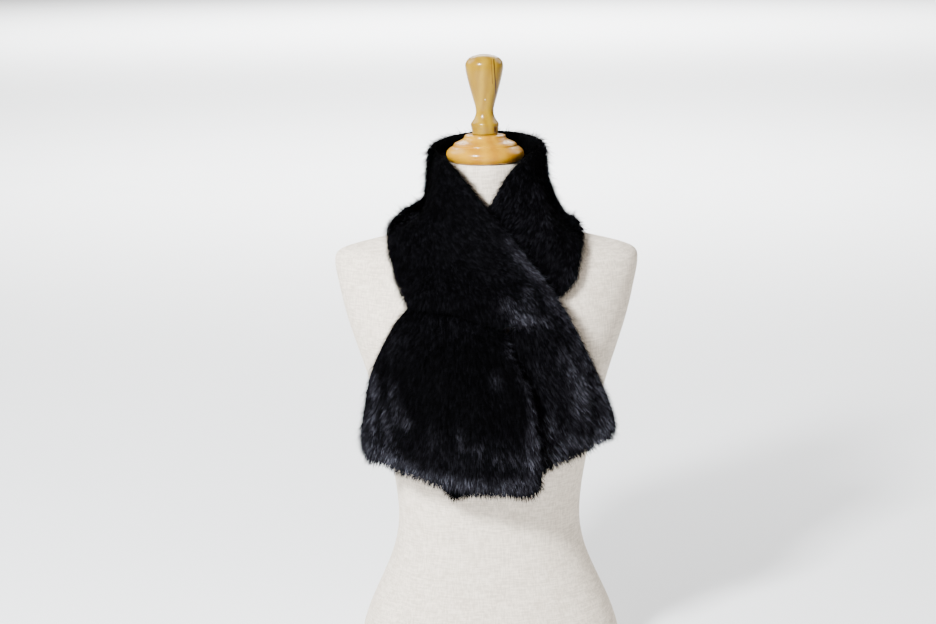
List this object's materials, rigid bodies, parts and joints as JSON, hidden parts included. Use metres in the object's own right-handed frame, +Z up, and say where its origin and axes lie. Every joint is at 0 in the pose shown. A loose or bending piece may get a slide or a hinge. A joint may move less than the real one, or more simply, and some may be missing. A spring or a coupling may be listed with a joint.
{
  "type": "fur scarf on a dress form",
  "caption": "Black fur pull-through scarf, crossed on the chest and drawn through its slot, on a limbless linen dress form with a turned wooden neck cap.",
  "frame": {"origin": "The middle of the dress form's flat bottom, on the axis of its neck.", "axes": "+Z is up. -Y is the front, where the scarf crosses. +X is to the right as seen from the front."},
  "size_m": [0.3906, 0.2842, 0.801],
  "materials": {
    "linen": "matt woven linen",
    "amber_wood": "clear lacquer",
    "olive_wood": "clear lacquer",
    "black_fur": "glossy fur pile"
  },
  "bodies": {
    "root": {"form_torso": "linen", "neck_cap": "amber_wood", "neck_knob": "olive_wood", "scarf_neck": "black_fur", "scarf_over": "black_fur", "scarf_over_end": "black_fur", "scarf_under": "black_fur", "scarf_under_end": "black_fur"}
  },
  "joints": []
}
